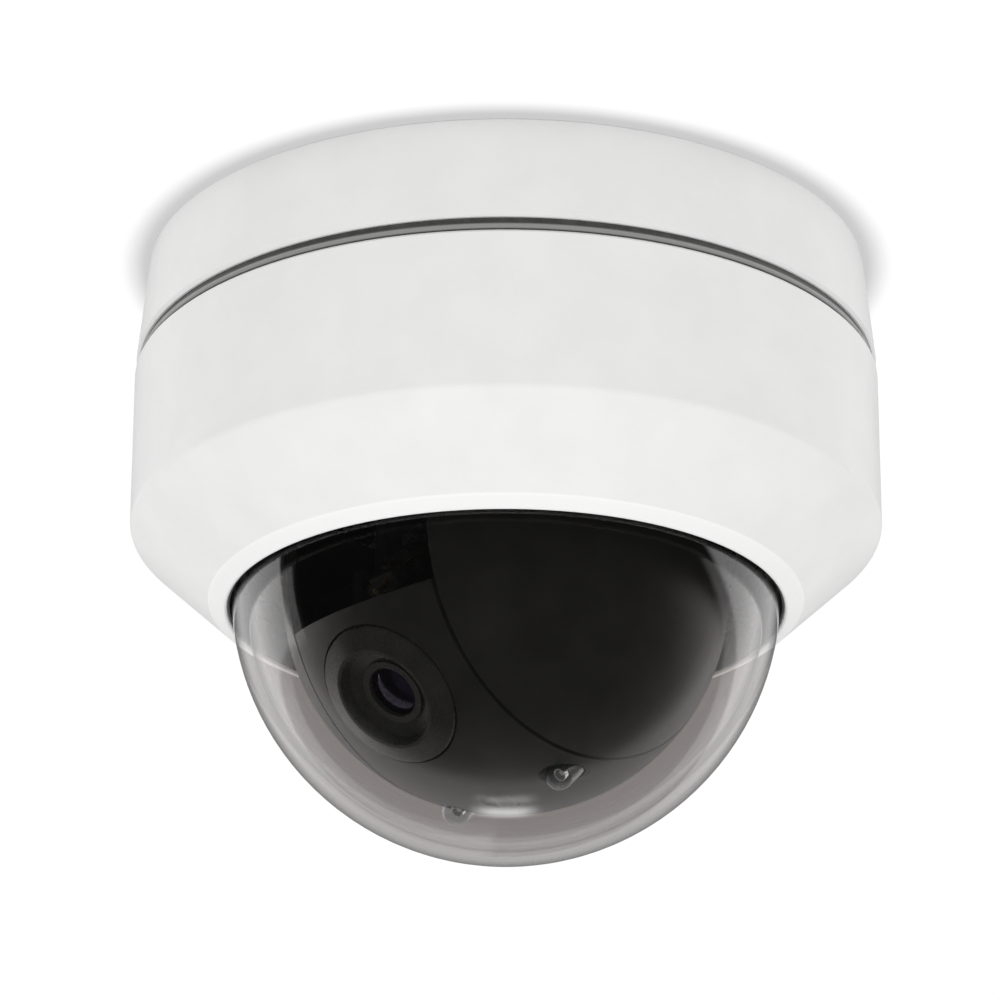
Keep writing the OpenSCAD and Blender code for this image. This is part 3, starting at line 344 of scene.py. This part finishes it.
def turned(mesh, profile, place, sides=32):
    """Adds a turned solid to a bmesh. profile is (radius, distance along) from end to end."""
    rings = []
    for radius, along in profile:
        ring = []
        for k in range(sides):
            angle = 2 * math.pi * k / sides
            point = Vector((radius * math.cos(angle), along, radius * math.sin(angle)))
            ring.append(mesh.verts.new(place @ point))
        rings.append(ring)
    for one, other in zip(rings, rings[1:]):
        for k in range(sides):
            after = (k + 1) % sides
            mesh.faces.new((one[k], one[after], other[after], other[k]))
    mesh.faces.new(rings[0][::-1])
    mesh.faces.new(rings[-1])


def finished(name, mesh, finish, body):
    """Makes a bmesh into a smooth-shaded piece that rides on a body."""
    bmesh.ops.recalc_face_normals(mesh, faces=mesh.faces)
    data = bpy.data.meshes.new(name)
    mesh.to_mesh(data)
    mesh.free()
    data.materials.append(finish)
    data.shade_smooth()
    data.set_sharp_from_angle(angle=sharp_edge)
    piece = bpy.data.objects.new(name, data)
    bpy.context.collection.objects.link(piece)
    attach(piece, body)


def silvered():
    """Silver plate, a little worn."""
    finish, shader, place = new_finish("silvered lead frame")
    tree = finish.node_tree
    shader.inputs["Metallic"].default_value = 1.0
    worn = grain(finish, place, 0.3 * mm, 2)
    tones = [(0.3, (0.72, 0.70, 0.66)), (0.7, (0.86, 0.85, 0.82))]
    tree.links.new(blend_colours(finish, worn, tones), shader.inputs["Base Color"])
    tree.links.new(blend_values(finish, worn, 0.18, 0.3), shader.inputs["Roughness"])
    raise_surface(finish, shader, worn, 0.004 * mm, 0.5)
    return finish


# The cup on its leg, turned as (radius, distance along the lamp) in mm, and the shorter
# post beside it that the chip's wire runs to
cup = [(0.35, 6.4), (0.35, 4.2), (1.15, 3.6), (1.15, 2.6), (1.0, 2.6), (0.45, 3.3), (0.45, 3.15)]
post = [(0.3, 6.4), (0.3, 3.4), (0.12, 3.2)]
post_offset = -1.55 * mm
lead_frame = bmesh.new()
for k in (-1, 0, 1):
    lamp = head_place @ Matrix.Translation((lamp_spacing * k * mm, lamp_front, lamp_height))
    beside = lamp @ Matrix.Translation((post_offset, 0, 0))
    for profile, place, sides in ((cup, lamp, 32), (post, beside, 16)):
        turned(lead_frame, [(radius * mm, along * mm) for radius, along in profile], place, sides)
finished("lamp_lead_frames", lead_frame, silvered(), "head")

# Ceiling plate, clamp ring and other stampings: zinc-plated steel with faint rolling
# lines. Screws, races, rods and motor cans are plated or ground steel.


# The lines are this many times finer across the rolling than along it
line_stretch = 14
line_depth = 0.006 * mm


def plated_steel(name, low, high, roughness, line):
    """Bright metal with fine lines of that width from rolling, drawing or turning."""
    finish, shader, place = new_finish(name)
    tree = finish.node_tree
    shader.inputs["Metallic"].default_value = 1.0
    rolled = grain(finish, place, line, 3, (1, line_stretch, 1))
    colour = blend_colours(finish, rolled, [(0.3, low), (0.7, high)])
    tree.links.new(colour, shader.inputs["Base Color"])
    dullness = blend_values(finish, rolled, roughness, roughness + 0.15)
    tree.links.new(dullness, shader.inputs["Roughness"])
    raise_surface(finish, shader, rolled, line_depth, 0.5)
    return finish


zinc = plated_steel("zinc-plated sheet", (0.50, 0.51, 0.52), (0.62, 0.63, 0.64), 0.30, 2.5 * mm)
paint(zinc, "mount_plate", "dome_ring", "card_socket")
screw_steel = plated_steel("plated screws", (0.42, 0.42, 0.43), (0.55, 0.55, 0.56), 0.25, 0.5 * mm)
paint(screw_steel, "mount_studs", "lock_screw", "case_screws", "dome_ring_screws")
paint(screw_steel, "board_screws", "chassis_screws", "pan_motor_screws", "yoke_screws")
paint(screw_steel, "cheek_screws", "tilt_motor_screws", "cowl_screws")
ground = plated_steel("ground steel", (0.62, 0.62, 0.64), (0.72, 0.72, 0.74), 0.12, 0.4 * mm)
paint(ground, "pan_bearing_outer", "pan_bearing_inner", "pan_bearing_balls", "guide_rods")
can = plated_steel("motor can", (0.45, 0.46, 0.47), (0.58, 0.59, 0.6), 0.22, 1.5 * mm)
paint(can, "pan_motor", "tilt_motor", "lens_motors")
bare = plated_steel("bare aluminium", (0.55, 0.56, 0.57), (0.68, 0.69, 0.7), 0.3, 1 * mm)
paint(bare, "heat_sink")
brass = plated_steel("turned brass", (0.55, 0.40, 0.18), (0.70, 0.52, 0.25), 0.22, 0.4 * mm)
paint(brass, "pan_nut", "tilt_bush_left", "tilt_bush_right", "zoom_screw", "focus_screw")

# Chassis, yoke and head frame: zinc die castings with a thin black coat. The chassis is
# screwed under the deck, the yoke to the turntable, and the frame hangs on two bushes.

cast_black = black_moulding("black-coated casting", (0.02, 0.02, 0.021), 0.45, 0.02 * mm)
paint(cast_black, "chassis", "yoke", "head_frame")

# Gears: moulded in natural acetal, waxy and cream white. The two large gears are fixed to
# the turntable and the head frame, and the pinions are pressed on the motors' shafts.

acetal = moulded_rubber("natural acetal", (0.62, 0.60, 0.53), (0.68, 0.66, 0.60), 0.35)
paint(acetal, "pan_gear", "pan_pinion", "tilt_gear", "tilt_pinion")

# Circuit boards: glass fibre laminate under green solder mask, with the parts soldered
# on. The memory card, reset button and the wires through the pan shaft go with them.

weave_size = 0.8 * mm
weave_depth = 0.02 * mm


def solder_mask():
    """Green lacquer with the weave of the glass fibre showing through."""
    finish, shader, place = new_finish("green solder mask")
    weave = grain(finish, place, weave_size, 2)
    greens = [(0.3, (0.01, 0.075, 0.03)), (0.7, (0.016, 0.11, 0.045))]
    green = blend_colours(finish, weave, greens)
    finish.node_tree.links.new(green, shader.inputs["Base Color"])
    shader.inputs["Roughness"].default_value = 0.3
    raise_surface(finish, shader, weave, weave_depth, 0.5)
    return finish


paint(solder_mask(), "main_board", "sensor_board", "led_board")
epoxy_black = black_moulding("black epoxy", (0.012, 0.012, 0.013), 0.5, 0.01 * mm)
paint(epoxy_black, "board_components", "reset_switch", "memory_card", "pan_harness")
red_plastic = moulded_rubber("red plastic", (0.4, 0.02, 0.015), (0.5, 0.03, 0.02), 0.35)
paint(red_plastic, "reset_button")

# Ceiling: a white painted surface that the camera is screwed to. It glows evenly, darkens
# where the camera touches it, is painted darker and warmer as painted shade where it is seen
# through the dome, and is see-through from above so that the top can be seen.

reach = 4
gap = 0.0003
corners = [(-reach, -reach, gap), (reach, -reach, gap), (reach, reach, gap), (-reach, reach, gap)]
ceiling_mesh = bpy.data.meshes.new("ceiling")
ceiling_mesh.from_pydata(corners, [], [(3, 2, 1, 0)])
ceiling = bpy.data.objects.new("ceiling", ceiling_mesh)
bpy.context.collection.objects.link(ceiling)
ceiling.visible_glossy = False


shadow_reach = 6 * mm
lighting_white = (0.77, 0.77, 0.77)
# Painted shade: the ceiling's colour where it is seen through the dome
shade_through_dome = (0.25, 0.235, 0.23)


def ceiling_white():
    """A steady glow from below, with a contact shadow and painted shade where seen through the
    dome, and nothing at all from above.
    """
    finish = bpy.data.materials.new("ceiling white")
    finish.use_nodes = True
    tree = finish.node_tree
    tree.nodes.remove(tree.nodes["Principled BSDF"])
    output = tree.nodes["Material Output"]
    near = tree.nodes.new("ShaderNodeAmbientOcclusion")
    near.samples = 16
    near.inputs["Distance"].default_value = shadow_reach
    level = tree.nodes.new("ShaderNodeMapRange")
    level.inputs["From Min"].default_value = 0.55
    level.inputs["From Max"].default_value = 0.97
    level.inputs["To Min"].default_value = 0.60
    level.inputs["To Max"].default_value = 1.02
    glow = tree.nodes.new("ShaderNodeEmission")
    away = tree.nodes.new("ShaderNodeBsdfTransparent")
    side = tree.nodes.new("ShaderNodeNewGeometry")
    mix = tree.nodes.new("ShaderNodeMixShader")
    tree.links.new(near.outputs["AO"], level.inputs["Value"])
    tree.links.new(level.outputs["Result"], glow.inputs["Strength"])
    # Seen through the dome, the ceiling glows darker and warmer: painted shade
    ray = tree.nodes.new("ShaderNodeLightPath")
    by_eye = ray.outputs["Is Camera Ray"]
    seen_through = tree.nodes.new("ShaderNodeMath")
    seen_through.operation = "GREATER_THAN"
    seen_through.inputs[1].default_value = 0.5
    beyond = tree.nodes.new("ShaderNodeMath")
    beyond.operation = "MULTIPLY"
    tree.links.new(ray.outputs["Transparent Depth"], seen_through.inputs[0])
    tree.links.new(seen_through.outputs["Value"], beyond.inputs[0])
    tree.links.new(by_eye, beyond.inputs[1])
    seen = mix_colours(finish, beyond.outputs["Value"], (1, 1, 1), shade_through_dome)
    tree.links.new(mix_colours(finish, by_eye, lighting_white, seen), glow.inputs["Color"])
    tree.links.new(side.outputs["Backfacing"], mix.inputs["Fac"])
    tree.links.new(glow.outputs["Emission"], mix.inputs[1])
    tree.links.new(away.outputs["BSDF"], mix.inputs[2])
    tree.links.new(mix.outputs["Shader"], output.inputs["Surface"])
    return finish


ceiling_mesh.materials.append(ceiling_white())

# Light: an even white room and one broad soft light below the camera. What the dome
# mirrors is dark behind the viewer, with bright walls above and on the left, a paler
# floor at the back, and a lamp strip that puts the bright streak on it.

look_up = 22.43
toward_viewer = Vector((0, -math.cos(math.radians(look_up)), -math.sin(math.radians(look_up))))
room_level = 0.85
strip_level = 7.0
room = bpy.data.worlds.new("room")
bpy.context.scene.world = room
room.use_nodes = True
room_tree = room.node_tree
background = room_tree.nodes["Background"]
direction = room_tree.nodes.new("ShaderNodeTexCoord").outputs["Generated"]
parts = room_tree.nodes.new("ShaderNodeSeparateXYZ")
room_tree.links.new(direction, parts.inputs["Vector"])


def room_math(operation, first, second):
    """Sums on two numbers or outputs of the room's nodes."""
    node = room_tree.nodes.new("ShaderNodeMath")
    node.operation = operation
    for socket, value in zip(node.inputs, (first, second)):
        if isinstance(value, (int, float)):
            socket.default_value = value
        else:
            room_tree.links.new(value, socket)
    return node.outputs["Value"]


def rise(value, start, end, low=0.0, high=1.0):
    """Goes softly from low to high as the value goes from start to end."""
    node = room_tree.nodes.new("ShaderNodeMapRange")
    node.interpolation_type = "SMOOTHSTEP"
    node.inputs["From Min"].default_value = start
    node.inputs["From Max"].default_value = end
    node.inputs["To Min"].default_value = low
    node.inputs["To Max"].default_value = high
    room_tree.links.new(value, node.inputs["Value"])
    return node.outputs["Result"]


def facing(towards):
    """How far the direction points towards that one, from -1 to 1."""
    node = room_tree.nodes.new("ShaderNodeVectorMath")
    node.operation = "DOT_PRODUCT"
    node.inputs[1].default_value = towards
    room_tree.links.new(direction, node.inputs[0])
    return node.outputs["Value"]


def less(value, start, end):
    """Goes softly from 1 to 0 as the value goes from start to end."""
    return room_math("SUBTRACT", 1.0, rise(value, start, end))


across, away = parts.outputs["X"], parts.outputs["Y"]
sideways = room_math("ABSOLUTE", across, 0)
upper_wall = rise(facing((0.085, 0.503, 0.860)), 0.25, 0.32)
left_wall = room_math(
    "MULTIPLY",
    less(facing((-0.601, 0.350, -0.719)), 0.745, 0.80),
    room_math("MULTIPLY", rise(away, 0.25, 0.28), less(across, -0.06, 0.04)),
)
wall_light = rise(sideways, 0.2, 0.85, 0.9, 2.0)
side_walls = room_math("MULTIPLY", room_math("MAXIMUM", upper_wall, left_wall), wall_light)
# The part of the room straight behind the camera is in its shade
shade = rise(facing(tuple(-toward_viewer)), 0.82, 0.98, 1.0, 0.25)
walls = room_math("MULTIPLY", side_walls, shade)
back_floor = room_math("MULTIPLY", rise(away, 0.2, 0.36, 0.03, 0.62), shade)
lamp_strip = room_math(
    "MULTIPLY",
    less(sideways, 0.04, 0.18),
    less(room_math("ABSOLUTE", facing((0, 0.819, 0.574)), 0), 0.0, 0.095),
)
strip_glow = room_math("MULTIPLY", strip_level, rise(away, 0.3, 0.4))
mirrored = room_math(
    "ADD",
    room_math("MAXIMUM", walls, back_floor),
    room_math("MULTIPLY", lamp_strip, strip_glow),
)
kind = room_tree.nodes.new("ShaderNodeLightPath")
level = room_tree.nodes.new("ShaderNodeMix")
level.inputs["A"].default_value = room_level
room_tree.links.new(kind.outputs["Is Glossy Ray"], level.inputs["Factor"])
room_tree.links.new(mirrored, level.inputs["B"])
room_tree.links.new(level.outputs["Result"], background.inputs["Strength"])
background.inputs["Color"].default_value = (1, 1, 1, 1)

lamp_place = Vector((-0.03, -0.62, -0.62))
lamp_aim = Vector((0, 0, -0.04))
lamp = bpy.data.lights.new("key from below", "AREA")
lamp.shape = "RECTANGLE"
lamp.size = 0.5
lamp.size_y = 0.5
lamp.energy = 1.8
light = bpy.data.objects.new("key from below", lamp)
light.location = lamp_place
light.rotation_euler = (lamp_aim - lamp_place).to_track_quat("-Z", "Y").to_euler()
light.visible_glossy = False
bpy.context.collection.objects.link(light)

# Viewpoint: a long lens below and in front of the camera, looking up at it. It is aimed
# a little off the middle and turned by a fraction of a degree.

eye = bpy.data.cameras.new("viewpoint")
eye.lens = 169.4
eye.sensor_width = 36
eye.clip_end = 20
viewpoint = bpy.data.objects.new("viewpoint", eye)
bpy.context.collection.objects.link(viewpoint)
distance = 818.7 * mm
target = Vector((0, 0, -40 * mm))
aim_down = 0.154
aim_left = math.radians(0.079)
lean = math.radians(0.12)
tip = math.radians(90 + look_up - aim_down)
viewpoint.matrix_world = (
    Matrix.Translation(target + distance * toward_viewer)
    @ Matrix.Rotation(aim_left, 4, "Z")
    @ Matrix.Rotation(tip, 4, "X")
    @ Matrix.Rotation(lean, 4, "Z")
)
bpy.context.scene.camera = viewpoint
bpy.context.scene.view_settings.view_transform = "Standard"
